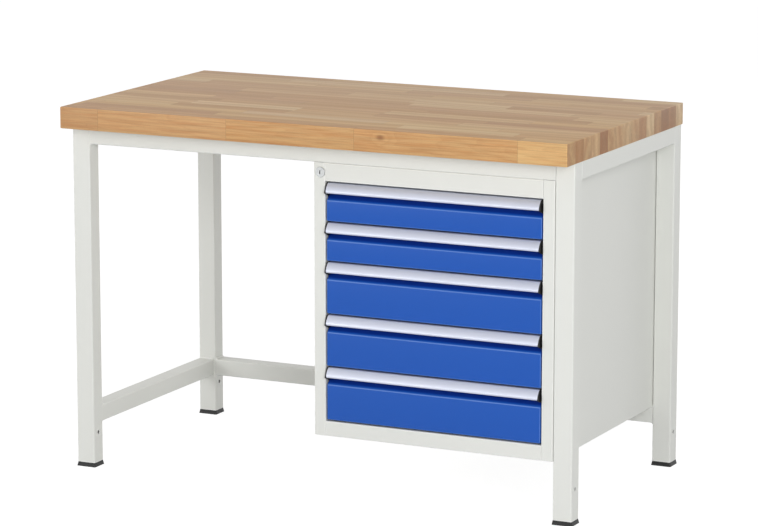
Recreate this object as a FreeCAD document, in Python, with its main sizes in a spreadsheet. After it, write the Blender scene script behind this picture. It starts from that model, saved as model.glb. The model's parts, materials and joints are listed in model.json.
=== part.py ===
import FreeCAD, Part
import math
import os
import re
import Sketcher
from FreeCAD import Vector

# Workshop bench: a laminated beech worktop on a welded tube frame, with a steel cabinet of five
# drawers hung at the right and a central lock. Front is -Y, right is +X, up is +Z, and the origin
# is on the floor under the middle of the worktop. All lengths are millimetres.

SIZES = [
    ("bench_length", 1250, "worktop, left to right"),
    ("bench_depth", 680, "worktop, front to rear"),
    ("bench_height", 850, "floor to the top face"),
    ("top_thickness", 50, "worktop board"),
    ("top_edge", 2, "bevel along the worktop's upper and upright edges"),
    ("side_inset", 2.5, "worktop end to leg, each side"),
    ("front_inset", 50, "worktop front edge to leg"),
    ("rear_inset", 2, "worktop rear edge to leg"),
    ("leg_width", 45, "leg tube, along X"),
    ("leg_depth", 40, "leg tube, along Y"),
    ("rail_height", 40, "rail tube, along Z"),
    ("rail_depth", 40, "rail tube, across its run"),
    ("tube_wall", 2, "wall of legs and rails"),
    ("tube_corner", 3, "outer corner radius of legs and rails"),
    ("leg_hole", 9, "diameter of the hole through each leg"),
    ("leg_hole_height", 80, "hole centre above the floor"),
    ("foot_height", 10, "plastic foot under the tube"),
    ("foot_flare", 2, "foot wider than the tube at the floor, each side"),
    ("foot_plug_length", 20, "part of the foot inside the tube"),
    ("foot_plug_play", 0.3, "foot plug to tube wall"),
    ("foot_plug_wall", 3, "wall of the hollow plug"),
    ("lug_width", 40, "worktop lug, along its rail"),
    ("lug_reach", 30, "worktop lug, away from its rail"),
    ("lug_drop", 25, "worktop lug, down its rail"),
    ("lug_sheet", 3, "worktop lug thickness"),
    ("lug_spacing", 850, "from one lug to the other on the same rail"),
    ("wood_screw", 6, "worktop screw shank diameter"),
    ("wood_screw_depth", 30, "screw in the board"),
    ("wood_screw_head", 10, "screw head, across flats"),
    ("wood_screw_cap", 4, "screw head height"),
    ("bore_play", 0.3, "radial play of a bolt or screw in sheet"),
    ("thread_play", 0.05, "radial play in a threaded or pilot hole"),
    ("cabinet_width", 580, "cabinet, outside"),
    ("cabinet_setback", 8, "cabinet's rear ahead of the frame's rear plane"),
    ("cabinet_gap", 1, "cabinet side to the right legs"),
    ("panel_sheet", 1.5, "cabinet sheet thickness"),
    ("fold_radius", 2, "outer radius of a fold in cabinet sheet"),
    ("post_width", 27.5, "front post folded from the side panel"),
    ("post_return", 15, "inner return of the front post"),
    ("rear_flange", 15, "rear flange of the side panel"),
    ("upper_bar_height", 41, "upper crossbar"),
    ("lower_bar_height", 34, "lower crossbar"),
    ("crossbar_depth", 18, "returns of the crossbars"),
    ("panel_flange", 15, "side flanges of the top and bottom panels"),
    ("upright_depth", 30, "slide upright, along Y"),
    ("upright_end_gap", 20, "upright to the cabinet's top and bottom"),
    ("upright_front", 45, "front upright behind the front plane"),
    ("upright_clear", 60, "rear upright ahead of the cabinet's rear"),
    ("hanger_bolt", 8, "cabinet bolt shank diameter"),
    ("hanger_length", 20, "cabinet bolt shank length"),
    ("hanger_head", 13, "bolt head, across flats"),
    ("hanger_cap", 5.3, "bolt head height"),
    ("hanger_side", 60, "bolt to the cabinet's side"),
    ("hanger_front", 28, "front bolt behind the front plane"),
    ("hanger_rear", 20, "rear bolt behind the rear rail's front face"),
    ("front_gap", 3.5, "gap above and below each drawer front"),
    ("front_side_gap", 3, "gap beside each drawer front"),
    ("front_setback", 1.5, "drawer face behind the cabinet's front plane"),
    ("front_height_1", 86, "first drawer front, from the top"),
    ("front_height_2", 86, "second drawer front"),
    ("front_height_3", 116, "third drawer front"),
    ("front_height_4", 116, "fourth drawer front"),
    ("front_height_5", 120, "fifth drawer front"),
    ("front_sheet", 1.2, "drawer front sheet thickness"),
    ("recess_drop", 40, "top of the front to the foot of its finger recess"),
    ("recess_depth", 16, "finger recess, front to back"),
    ("recess_rise", 16, "height of the recess's sloped floor"),
    ("front_upstand", 25, "rear upstand of the drawer front"),
    ("grip_reach", 12, "grip lip in front of the drawer face"),
    ("grip_drop", 22, "grip lip below the top of the front"),
    ("grip_setback", 2, "start of the grip's curve behind the face"),
    ("grip_radius", 40, "outer curve of the grip"),
    ("grip_wall", 1.8, "grip wall thickness"),
    ("grip_lip", 2.4, "thickness of the rounded grip lip"),
    ("grip_rib", 1.5, "rib that holds the grip under the flange"),
    ("grip_rib_reach", 10, "rear end of the rib behind the face"),
    ("grip_play", 0.1, "flange in the grip's slot"),
    ("cap_thickness", 3, "end cap of the grip"),
    ("cap_meet", 9, "where the cap's lower edge meets the recess floor"),
    ("tray_sheet", 1.2, "drawer tray sheet thickness"),
    ("tray_clear", 41.3, "drawer tray's rear ahead of the cabinet's rear"),
    ("tray_lift", 3, "tray floor above the bottom of the front"),
    ("tray_drop", 21, "tray rim below the top of the front"),
    ("hem_height", 8, "doubled rim of the tray"),
    ("slide_clear", 45, "closed slide's rear ahead of the cabinet's rear"),
    ("slide_height", 45, "telescopic slide"),
    ("slide_width", 12.7, "telescopic slide, cabinet side to tray"),
    ("slide_reach", 9.6, "depth of the cabinet member"),
    ("slide_wall", 1.3, "slide sheet thickness"),
    ("slide_play", 0.5, "running gap between slide members"),
    ("slide_outer_lip", 4, "lips of the cabinet member"),
    ("slide_middle_lip", 3, "lips of the intermediate member"),
    ("slide_lift", 3, "slide above the bottom of the front"),
    ("slide_setback", 35, "slide behind the front plane"),
    ("lock_inset", 16, "lock axis from the cabinet's left side"),
    ("lock_drop", 21.5, "lock axis below the cabinet's top"),
    ("bezel_diameter", 24, "lock bezel"),
    ("bezel_thickness", 2, "lock bezel"),
    ("bezel_face", 22, "flat face of the tapered bezel"),
    ("lock_body", 16, "threaded lock body diameter"),
    ("lock_length", 16, "lock body behind the front plane"),
    ("plug_diameter", 11, "turning plug"),
    ("plug_head", 14.4, "visible face of the plug"),
    ("plug_play", 0.08, "plug to housing"),
    ("plug_proud", 0.3, "plug face ahead of the bezel"),
    ("plug_seat", 1.5, "counterbore for the plug's head"),
    ("key_slot_width", 2.4, "keyhole"),
    ("key_slot_height", 8, "keyhole"),
    ("key_slot_depth", 12, "keyhole"),
    ("tail_size", 5, "square tail of the plug"),
    ("tail_play", 0.03, "tail in the crank plate"),
    ("lock_nut_flats", 19, "lock nut, across flats"),
    ("lock_nut_height", 4, "lock nut"),
    ("crank_rim", 2.5, "crank plate around the plug's tail"),
    ("crank_tip", 1, "crank plate beyond its pin"),
    ("crank_corner", 1.5, "cut corner at the crank's tip"),
    ("crank_thickness", 2, "crank plate"),
    ("crank_radius", 6, "crank pin from the lock axis"),
    ("crank_pin", 4, "crank pin diameter"),
    ("crank_overrun", 1.5, "crank pin past the lock bar"),
    ("crank_play", 0.4, "crank pin in the bar's slot"),
    ("bar_gap", 1.8, "lock bar behind the drawer fronts"),
    ("bar_thickness", 2.5, "lock bar"),
    ("bar_width", 14, "lock bar"),
    ("bar_side", 4, "lock bar to the side panel"),
    ("bar_head", 8, "lock bar above the middle of its slot"),
    ("bar_foot", 10, "lock bar's end above the lowest front's bottom"),
    ("tongue_level", 50, "tongue above the bottom of its drawer front"),
    ("tongue_height", 6, "tongue of the lock bar"),
    ("tongue_reach", 10, "tongue past the front post"),
    ("catch_gap", 1.5, "catch above the tongue when unlocked"),
    ("catch_run", 0.5, "catch behind the tongue's plane"),
    ("catch_sheet", 2, "catch plate thickness"),
    ("catch_height", 7, "catch plate"),
    ("catch_side", 2, "catch to the front post as it passes"),
    ("catch_foot", 15, "catch flange along the tray"),
    ("guide_play", 0.3, "lock bar in its guides"),
    ("guide_sheet", 2, "guide plate thickness"),
    ("guide_width", 22, "guide plate, along X"),
    ("guide_margin", 2.5, "guide plate beyond the bar, front and rear"),
    ("guide_flange", 15, "guide flange up the side panel"),
    ("guide_level", 22, "guide above the bottom of a drawer front"),
]

LAYOUT = [
    ("frame_left", "-bench_length / 2 + side_inset"),
    ("frame_right", "bench_length / 2 - side_inset"),
    ("frame_front", "-bench_depth / 2 + front_inset"),
    ("frame_rear", "bench_depth / 2 - rear_inset"),
    ("frame_top", "bench_height - top_thickness"),
    ("rail_underside", "frame_top - rail_height"),
    ("leg_length", "frame_top - foot_height"),
    ("cross_run", "frame_right - frame_left - 2 * leg_width"),
    ("side_run", "frame_rear - frame_front - 2 * leg_depth"),
    ("cabinet_right", "frame_right - leg_width - cabinet_gap"),
    ("cabinet_left", "cabinet_right - cabinet_width"),
    ("cabinet_middle", "cabinet_left + cabinet_width / 2"),
    ("cabinet_rear", "frame_rear - cabinet_setback"),
    ("cabinet_depth", "cabinet_rear - frame_front"),
    ("hanger_rear_y", "frame_rear - rail_depth + hanger_rear"),
    ("opening_left", "cabinet_left + post_width"),
    ("opening_width", "cabinet_width - 2 * post_width"),
    ("opening_top", "rail_underside - upper_bar_height"),
    ("front_base_1", "opening_top - front_gap - front_height_1"),
    ("front_base_2", "front_base_1 - front_gap - front_height_2"),
    ("front_base_3", "front_base_2 - front_gap - front_height_3"),
    ("front_base_4", "front_base_3 - front_gap - front_height_4"),
    ("front_base_5", "front_base_4 - front_gap - front_height_5"),
    ("opening_base", "front_base_5 - front_gap"),
    ("cabinet_base", "opening_base - lower_bar_height"),
    ("cabinet_height", "rail_underside - cabinet_base"),
    ("inner_left", "cabinet_left + panel_sheet"),
    ("inner_width", "cabinet_width - 2 * panel_sheet"),
    ("face_plane", "frame_front + front_setback"),
    ("tray_front", "face_plane + recess_depth + front_sheet"),
    ("tray_length", "cabinet_rear - tray_clear - tray_front"),
    ("slide_length", "cabinet_depth - slide_setback - slide_clear"),
    ("front_left", "opening_left + front_side_gap"),
    ("front_width", "opening_width - 2 * front_side_gap"),
    ("recess_shift", "front_sheet * (sqrt(recess_depth ^ 2 + recess_rise ^ 2) - recess_rise) / recess_depth"),
    ("tray_left", "opening_left + slide_width"),
    ("tray_width", "opening_width - 2 * slide_width"),
    ("middle_back", "slide_wall + slide_play"),
    ("middle_front", "slide_reach - slide_wall - slide_play"),
    ("middle_half", "slide_height / 2 - slide_wall - slide_play"),
    ("inner_back", "middle_back + slide_wall + slide_play"),
    ("inner_lip_half", "middle_half - slide_wall - slide_play"),
    ("inner_half", "middle_half - slide_middle_lip - slide_play"),
    ("lock_x", "cabinet_left + lock_inset"),
    ("lock_z", "rail_underside - lock_drop"),
    ("bar_front", "tray_front + bar_gap"),
    ("bar_left", "inner_left + bar_side"),
    ("crank_offset", "crank_radius / sqrt(2)"),
    ("crank_front", "frame_front + lock_length + plug_play"),
    ("slot_half", "crank_pin / 2 + crank_play"),
]

DRAWERS = (1, 2, 3, 4, 5)

# ---------------------------------------------------------------- the two sheets

doc = FreeCAD.newDocument("workbench")
sizes = doc.addObject("Spreadsheet::Sheet", "sizes")
layout = doc.addObject("Spreadsheet::Sheet", "layout")
SIZE_NAMES = {name for name, size, meaning in SIZES}
LAYOUT_NAMES = {name for name, formula in LAYOUT}


def spell(formula, inside_layout=False):
    """Write a formula's plain names as references to the two sheets."""
    def reference(match):
        name = match.group(0)
        if name in SIZE_NAMES:
            return "sizes." + name
        if name in LAYOUT_NAMES and not inside_layout:
            return "layout." + name
        return name
    return re.sub(r"[a-z_][a-z_0-9]*", reference, formula)


def value(formula):
    """Work out a formula in millimetres."""
    return float(sizes.evalExpression(spell(formula)))


for row, (name, size, meaning) in enumerate(SIZES, 1):
    sizes.set(f"A{row}", meaning)
    sizes.set(f"B{row}", str(size))
    sizes.setAlias(f"B{row}", name)
for row, (name, formula) in enumerate(LAYOUT, 1):
    layout.set(f"A{row}", name)
    layout.set(f"B{row}", "=" + spell(formula, inside_layout=True))
    layout.setAlias(f"B{row}", name)
doc.recompute()

# ---------------------------------------------------------------- outlines


def box(x0, y0, x1, y1):
    """Corners of a rectangle."""
    return [(x0, y0), (x1, y0), (x1, y1), (x0, y1)]


def rounded(x0, y0, x1, y1, radius):
    """Corners of a rectangle with rounded corners."""
    low_x, high_x = f"{x0} + {radius}", f"{x1} - ({radius})"
    low_y, high_y = f"{y0} + {radius}", f"{y1} - ({radius})"
    return [(low_x, y0), (high_x, y0, radius), (x1, low_y), (x1, high_y, radius),
            (high_x, y1), (low_x, y1, radius), (x0, high_y), (x0, low_y, radius)]


def disc(x, y, diameter):
    """A circle."""
    return ("disc", x, y, diameter)


def hexagon(x, y, flats):
    """Corners of a hexagon with two flats facing along the first axis."""
    half, tip = f"({flats}) / 2", f"({flats}) / sqrt(3)"
    return [(x, f"{y} + {tip}"), (f"{x} - {half}", f"{y} + {tip} / 2"), (f"{x} - {half}", f"{y} - {tip} / 2"),
            (x, f"{y} - {tip}"), (f"{x} + {half}", f"{y} - {tip} / 2"), (f"{x} + {half}", f"{y} + {tip} / 2")]


def shifted(corner, direction, distance):
    """Move a corner along an axis direction."""
    words = []
    for place, step in zip(corner, direction):
        if step > 0:
            words.append(f"{place} + {distance}")
        elif step < 0:
            words.append(f"{place} - ({distance})")
        else:
            words.append(place)
    return tuple(words)


def bent(path, sheet, radius=None):
    """Outline of sheet folded square along a path, rounded outside each fold. It lies left of the path."""
    spots = [(value(x), value(y)) for x, y in path]
    ways = []
    for (x0, y0), (x1, y1) in zip(spots, spots[1:]):
        run = math.hypot(x1 - x0, y1 - y0)
        ways.append((round((x1 - x0) / run), round((y1 - y0) / run)))
    lefts = [(-y, x) for x, y in ways]
    near = [path[0]]
    far = [shifted(path[0], lefts[0], sheet)]
    for number, corner in enumerate(path[1:-1]):
        before, after = ways[number], ways[number + 1]
        opposite = shifted(shifted(corner, lefts[number], sheet), lefts[number + 1], sheet)
        if radius is None:
            near.append(corner)
            far.append(opposite)
            continue
        back = (-before[0], -before[1])
        if before[0] * after[1] - before[1] * after[0] > 0:
            near.append(shifted(corner, back, radius) + (radius, "left"))
            near.append(shifted(corner, after, radius))
            far.append(opposite)
        else:
            near.append(corner)
            far.append(shifted(opposite, back, radius))
            far.append(shifted(opposite, after, radius) + (radius, "left"))
    near.append(path[-1])
    far.append(shifted(path[-1], lefts[-1], sheet))
    return near + far[::-1]


# ---------------------------------------------------------------- sketches and features

PLANES = {"X": "YZ_Plane", "Y": "XZ_Plane", "Z": "XY_Plane"}


def new_body(label, x="0", y="0", z="0"):
    """A body whose own origin stands at the given place."""
    body = doc.addObject("PartDesign::Body", label)
    body.Label = label
    for axis, place in (("x", x), ("y", y), ("z", z)):
        body.setExpression(f"Placement.Base.{axis}", spell(place))
    return body


def origin_feature(body, role):
    """One of a body's own planes or axes."""
    return next(item for item in body.Origin.OriginFeatures if item.Role == role)


def arc_edge(sketch, start, stop, radius, turn):
    """Add an arc and say which of its ends is the start and which the stop."""
    chord = stop - start
    side = Vector(-chord.y, chord.x, 0).normalize()
    if turn == "right":
        side = side * -1
    reach = math.sqrt(max(0.0, radius ** 2 - chord.Length ** 2 / 4))
    centre = (start + stop) * 0.5 + side * reach
    ends = (start, stop) if turn == "left" else (stop, start)
    angles = [math.atan2(end.y - centre.y, end.x - centre.x) for end in ends]
    circle = Part.Circle(centre, Vector(0, 0, 1), radius)
    sketch.addGeometry(Part.ArcOfCircle(circle, angles[0], angles[1]))
    return (1, 2) if turn == "left" else (2, 1)


def bind(sketch, kind, *reference_and_formula):
    """Add a dimension to a sketch and tie it to the sheets."""
    *reference, formula = reference_and_formula
    number = sketch.addConstraint(Sketcher.Constraint(kind, *reference, value(formula)))
    sketch.setExpression(f"Constraints[{number}]", spell(formula))


def draw_disc(sketch, x, y, diameter):
    """Draw a circle with its centre and diameter tied to the sheets."""
    centre = Vector(value(x), value(y), 0)
    edge = sketch.addGeometry(Part.Circle(centre, Vector(0, 0, 1), value(diameter) / 2))
    bind(sketch, "DistanceX", edge, 3, x)
    bind(sketch, "DistanceY", edge, 3, y)
    bind(sketch, "Diameter", edge, diameter)


def draw_loop(sketch, corners):
    """Draw a closed loop. A corner (x, y, radius, turn) starts an arc, and turn is left by default."""
    first = sketch.GeometryCount
    spots = [Vector(value(corner[0]), value(corner[1]), 0) for corner in corners]
    ends = []
    for number, corner in enumerate(corners):
        start, stop = spots[number], spots[(number + 1) % len(corners)]
        if len(corner) == 2:
            sketch.addGeometry(Part.LineSegment(start, stop))
            ends.append((1, 2))
        else:
            turn = corner[3] if len(corner) == 4 else "left"
            ends.append(arc_edge(sketch, start, stop, value(corner[2]), turn))
    for number, corner in enumerate(corners):
        edge = first + number
        after = (number + 1) % len(corners)
        joint = Sketcher.Constraint("Coincident", edge, ends[number][1], first + after, ends[after][0])
        sketch.addConstraint(joint)
        bind(sketch, "DistanceX", edge, ends[number][0], corner[0])
        bind(sketch, "DistanceY", edge, ends[number][0], corner[1])
        if len(corner) > 2:
            bind(sketch, "Radius", edge, corner[2])


def new_sketch(body, axis, start, loops):
    """A sketch square to one of the body's axes, at a distance along it."""
    sketch = body.newObject("Sketcher::SketchObject", body.Name + "_sketch")
    sketch.AttachmentSupport = [(origin_feature(body, PLANES[axis]), "")]
    sketch.MapMode = "FlatFace"
    offset = f"-({start})" if axis == "Y" else start
    sketch.setExpression("AttachmentOffset.Base.z", spell(offset))
    for loop in loops:
        if loop[0] == "disc":
            draw_disc(sketch, *loop[1:])
        else:
            draw_loop(sketch, loop)
    return sketch


def extrude(body, axis, start, length, *loops):
    """Add material along +axis, from start over length."""
    pad = body.newObject("PartDesign::Pad", body.Name + "_pad")
    pad.Profile = new_sketch(body, axis, start, loops)
    pad.setExpression("Length", spell(length))
    pad.Reversed = axis == "Y"
    return pad


def cut(body, axis, start, length, *loops):
    """Take material away along +axis, from start over length."""
    doc.recompute()
    before = body.Shape.Volume
    pocket = body.newObject("PartDesign::Pocket", body.Name + "_pocket")
    pocket.Profile = new_sketch(body, axis, start, loops)
    pocket.setExpression("Length", spell(length))
    pocket.Reversed = axis != "Y"
    doc.recompute()
    if body.Shape.Volume > before - 1e-3:
        raise ValueError(f"{pocket.Name} cuts nothing")
    return pocket


def turned(body, loop):
    """Turn a half section about the body's Y axis. In the loop, x is the radius."""
    lathe = body.newObject("PartDesign::Revolution", body.Name + "_turned")
    lathe.Profile = new_sketch(body, "Z", "0", [loop])
    lathe.ReferenceAxis = (origin_feature(body, "Y_Axis"), [""])
    lathe.Angle = 360
    return lathe


def bevel(body, size, chosen):
    """Bevel the edges that the test chooses."""
    doc.recompute()
    base = body.Tip
    names = [f"Edge{number}" for number, edge in enumerate(base.Shape.Edges, 1) if chosen(edge)]
    chamfer = body.newObject("PartDesign::Chamfer", body.Name + "_chamfer")
    chamfer.Base = (base, names)
    chamfer.setExpression("Size", spell(size))
    return chamfer


def repeat(body, feature, axis, spacing):
    """Repeat one feature once more along an axis."""
    pattern = body.newObject("PartDesign::LinearPattern", body.Name + "_pattern")
    pattern.Originals = [feature]
    pattern.Direction = (origin_feature(body, axis + "_Axis"), [""])
    pattern.setExpression("Length", spell(spacing))
    pattern.Occurrences = 2
    body.Tip = pattern
    return pattern


def copy_at(source, label, x, y, z, turn=0):
    """Another of the same piece, at its own place, turned about Z by degrees."""
    link = doc.addObject("App::Link", label)
    link.LinkedObject = source
    link.Placement = FreeCAD.Placement(Vector(), FreeCAD.Rotation(Vector(0, 0, 1), turn))
    for axis, place in (("x", x), ("y", y), ("z", z)):
        link.setExpression(f"Placement.Base.{axis}", spell(place))
    return link


def mirror_of(source, label):
    """The same piece on the cabinet's other side."""
    mirror = doc.addObject("Part::Mirroring", label)
    mirror.Label = label
    mirror.Source = source
    mirror.Normal = Vector(1, 0, 0)
    mirror.setExpression("Base.x", spell("cabinet_middle"))
    return mirror


def group(label, pieces):
    """Identical pieces kept as one sub-part of separate solids."""
    compound = doc.addObject("Part::Compound", label)
    compound.Label = label
    compound.Links = pieces
    return compound


# ---------------------------------------------------------------- worktop


def build_worktop():
    """Board with worked edges and pilot holes for the screws that hold it."""
    body = new_body("worktop", "-bench_length / 2", "-bench_depth / 2", "frame_top")
    extrude(body, "Z", "0", "top_thickness", box("0", "0", "bench_length", "bench_depth"))
    bevel(body, "top_edge", lambda edge: edge.CenterOfMass.z > 1)
    holes = []
    for side in (-1, 1):
        x = f"bench_length / 2 + {side} * lug_spacing / 2"
        for y in ("front_inset + rail_depth + lug_reach / 2",
                  "bench_depth - rear_inset - rail_depth - lug_reach / 2"):
            holes.append(disc(x, y, "wood_screw + 2 * thread_play"))
    cut(body, "Z", "0", "wood_screw_depth", *holes)
    return [body]


def build_worktop_fixings():
    """Lugs on the front and rear rails, and the hexagon screws that go up through them."""
    left, right = "-lug_spacing / 2", "lug_spacing / 2"
    front, rear = "frame_front + rail_depth", "frame_rear - rail_depth"
    front_screw, rear_screw = f"{front} + lug_reach / 2", f"{rear} - lug_reach / 2"
    lug = new_body("lug_piece", f"{left} - lug_width / 2", front, "frame_top")
    extrude(lug, "X", "0", "lug_width",
            bent([("lug_reach", "0"), ("0", "0"), ("0", "-lug_drop")], "lug_sheet"))
    cut(lug, "Z", "-lug_sheet", "lug_sheet",
        disc("lug_width / 2", "lug_reach / 2", "wood_screw + 2 * bore_play"))
    screw_z = "frame_top - lug_sheet"
    screw = new_body("screw_piece", left, front_screw, screw_z)
    extrude(screw, "Z", "0", "lug_sheet + wood_screw_depth", disc("0", "0", "wood_screw"))
    extrude(screw, "Z", "-wood_screw_cap", "wood_screw_cap", hexagon("0", "0", "wood_screw_head"))
    lugs = [
        lug,
        copy_at(lug, "lug_front_right", f"{right} - lug_width / 2", front, "frame_top"),
        copy_at(lug, "lug_rear_left", f"{left} + lug_width / 2", rear, "frame_top", 180),
        copy_at(lug, "lug_rear_right", f"{right} + lug_width / 2", rear, "frame_top", 180),
    ]
    screws = [
        screw,
        copy_at(screw, "screw_front_right", right, front_screw, screw_z),
        copy_at(screw, "screw_rear_left", left, rear_screw, screw_z),
        copy_at(screw, "screw_rear_right", right, rear_screw, screw_z),
    ]
    return [group("worktop_lugs", lugs), group("worktop_screws", screws)]


# ---------------------------------------------------------------- frame


def tube(label, axis, length, width, height, x, y, z):
    """Rectangular tube with rounded corners, running along an axis."""
    body = new_body(label, x, y, z)
    extrude(body, axis, "0", length,
            rounded("0", "0", width, height, "tube_corner"),
            box("tube_wall", "tube_wall", f"{width} - tube_wall", f"{height} - tube_wall"))
    return body


def build_legs():
    """Four legs, each with a hole straight through from side to side."""
    legs = []
    for side, x in (("left", "frame_left"), ("right", "frame_right - leg_width")):
        for end, y in (("front", "frame_front"), ("rear", "frame_rear - leg_depth")):
            leg = tube(f"leg_{end}_{side}", "Z", "leg_length", "leg_width", "leg_depth", x, y, "foot_height")
            cut(leg, "X", "0", "leg_width", disc("leg_depth / 2", "leg_hole_height - foot_height", "leg_hole"))
            legs.append(leg)
    return legs


def build_rails():
    """Top rails on all four sides, and low rails at the left and rear."""
    inner_left = "frame_left + leg_width"
    rear = "frame_rear - rail_depth"
    right = "frame_right - rail_depth"
    behind = "frame_front + leg_depth"
    low = "cabinet_base - rail_height"
    front_rail = tube("top_rail_front", "X", "cross_run", "rail_depth", "rail_height",
                      inner_left, "frame_front", "rail_underside")
    rear_rail = tube("top_rail_rear", "X", "cross_run", "rail_depth", "rail_height",
                     inner_left, rear, "rail_underside")
    bolt_xs = ("cabinet_left + hanger_side - frame_left - leg_width",
               "cabinet_right - hanger_side - frame_left - leg_width")
    for rail, y in ((front_rail, "hanger_front"), (rear_rail, "hanger_rear")):
        cut(rail, "Z", "0", "tube_wall", *[disc(x, y, "hanger_bolt + 2 * thread_play") for x in bolt_xs])
    return [
        front_rail,
        rear_rail,
        tube("top_rail_left", "Y", "side_run", "rail_depth", "rail_height", "frame_left", behind, "rail_underside"),
        tube("top_rail_right", "Y", "side_run", "rail_depth", "rail_height", right, behind, "rail_underside"),
        tube("low_rail_left", "Y", "side_run", "rail_depth", "rail_height", "frame_left", behind, low),
        tube("low_rail_rear", "X", "cross_run", "rail_depth", "rail_height", inner_left, rear, low),
    ]


def build_feet():
    """Plastic feet: a base that widens to the floor, and a hollow plug up inside the tube."""
    foot = new_body("foot_piece", "frame_left", "frame_front")
    base = foot.newObject("PartDesign::AdditiveLoft", "foot_base")
    base.Profile = new_sketch(foot, "Z", "0", [
        rounded("-foot_flare", "-foot_flare", "leg_width + foot_flare", "leg_depth + foot_flare", "tube_corner")])
    base.Sections = [new_sketch(foot, "Z", "foot_height", [
        rounded("0", "0", "leg_width", "leg_depth", "tube_corner")])]
    inset = "(tube_wall + foot_plug_play)"
    hollow = "(tube_wall + foot_plug_play + foot_plug_wall)"
    extrude(foot, "Z", "foot_height", "foot_plug_length",
            box(inset, inset, f"leg_width - {inset}", f"leg_depth - {inset}"),
            box(hollow, hollow, f"leg_width - {hollow}", f"leg_depth - {hollow}"))
    feet = [foot]
    for label, x, y in (("foot_front_right", "frame_right - leg_width", "frame_front"),
                        ("foot_rear_left", "frame_left", "frame_rear - leg_depth"),
                        ("foot_rear_right", "frame_right - leg_width", "frame_rear - leg_depth")):
        feet.append(copy_at(foot, label, x, y, "0"))
    return [group("foot_plinths", feet)]


# ---------------------------------------------------------------- cabinet


def side_panel(label):
    """Left side: sheet folded round at the front into a post, and at the rear into a flange."""
    body = new_body(label, "cabinet_left", "frame_front", "cabinet_base")
    extrude(body, "Z", "0", "cabinet_height", bent([
        ("rear_flange", "cabinet_depth"), ("0", "cabinet_depth"), ("0", "0"),
        ("post_width", "0"), ("post_width", "post_return")], "panel_sheet", "fold_radius"))
    return body


def build_cabinet_shell():
    """Two sides, two crossbars, top, bottom and back."""
    left = side_panel("cabinet_side_left")
    cut(left, "Y", "0", "panel_sheet",
        disc("lock_inset", "cabinet_height - lock_drop", "lock_body + 2 * thread_play"))
    right = mirror_of(side_panel("side_panel_blank"), "cabinet_side_right")
    parts = [left, right]
    for label, height, z in (("crossbar_upper", "upper_bar_height", "opening_top"),
                             ("crossbar_lower", "lower_bar_height", "cabinet_base")):
        bar = new_body(label, "opening_left", "frame_front", z)
        extrude(bar, "X", "0", "opening_width", bent([
            ("crossbar_depth", height), ("0", height), ("0", "0"), ("crossbar_depth", "0")],
            "panel_sheet", "fold_radius"))
        parts.append(bar)
    run = "cabinet_depth - crossbar_depth - 2 * panel_sheet"
    top = new_body("cabinet_top", "inner_left", "frame_front + crossbar_depth", "rail_underside")
    extrude(top, "Y", "0", run, bent([
        ("inner_width", "-panel_flange"), ("inner_width", "0"), ("0", "0"), ("0", "-panel_flange")],
        "panel_sheet"))
    bolts = []
    for x in ("hanger_side - panel_sheet", "inner_width - hanger_side + panel_sheet"):
        for y in ("hanger_front - crossbar_depth", "hanger_rear_y - frame_front - crossbar_depth"):
            bolts.append(disc(x, y, "hanger_bolt + 2 * bore_play"))
    cut(top, "Z", "-panel_sheet", "panel_sheet", *bolts)
    bottom = new_body("cabinet_bottom", "inner_left", "frame_front + crossbar_depth", "cabinet_base")
    extrude(bottom, "Y", "0", run, bent([
        ("0", "panel_flange"), ("0", "0"), ("inner_width", "0"), ("inner_width", "panel_flange")],
        "panel_sheet"))
    back = new_body("cabinet_back", "cabinet_left + fold_radius", "cabinet_rear - 2 * panel_sheet", "cabinet_base")
    extrude(back, "Y", "0", "panel_sheet", box("0", "0", "cabinet_width - 2 * fold_radius", "cabinet_height"))
    return parts + [top, bottom, back]


def build_uprights():
    """Channels inside the cabinet that carry the slides level with the front posts."""
    reach = "(post_width - panel_sheet)"
    pieces = []
    for end, y in (("front", "frame_front + upright_front"), ("rear", "cabinet_rear - upright_clear - upright_depth")):
        left = new_body(f"upright_{end}_left", "inner_left", y, "cabinet_base + upright_end_gap")
        extrude(left, "Z", "0", "cabinet_height - 2 * upright_end_gap", bent([
            ("0", "0"), (reach, "0"), (reach, "upright_depth"), ("0", "upright_depth")], "panel_sheet"))
        pieces += [left, mirror_of(left, f"upright_{end}_right")]
    return [group("slide_uprights", pieces)]


def build_hangers():
    """Bolts that hang the cabinet, in threads formed in the lower wall of the front and rear rails."""
    z = "rail_underside - panel_sheet"
    pieces = []
    for x in ("cabinet_left + hanger_side", "cabinet_right - hanger_side"):
        for y in ("frame_front + hanger_front", "hanger_rear_y"):
            if pieces:
                pieces.append(copy_at(pieces[0], f"hanger_bolt_{len(pieces) + 1}", x, y, z))
                continue
            bolt = new_body("hanger_bolt_piece", x, y, z)
            extrude(bolt, "Z", "0", "hanger_length", disc("0", "0", "hanger_bolt"))
            extrude(bolt, "Z", "-hanger_cap", "hanger_cap", hexagon("0", "0", "hanger_head"))
            pieces.append(bolt)
    return [group("cabinet_bolts", pieces)]


# ---------------------------------------------------------------- slides


def slide_members(name, number, path):
    """The same member of a drawer's two telescopic slides."""
    left = new_body(f"{name}_left_{number}", "opening_left", "frame_front + slide_setback",
                    f"front_base_{number} + slide_lift + slide_height / 2")
    extrude(left, "Y", "0", "slide_length", bent(path, "slide_wall"))
    return [left, mirror_of(left, f"{name}_right_{number}")]


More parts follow.
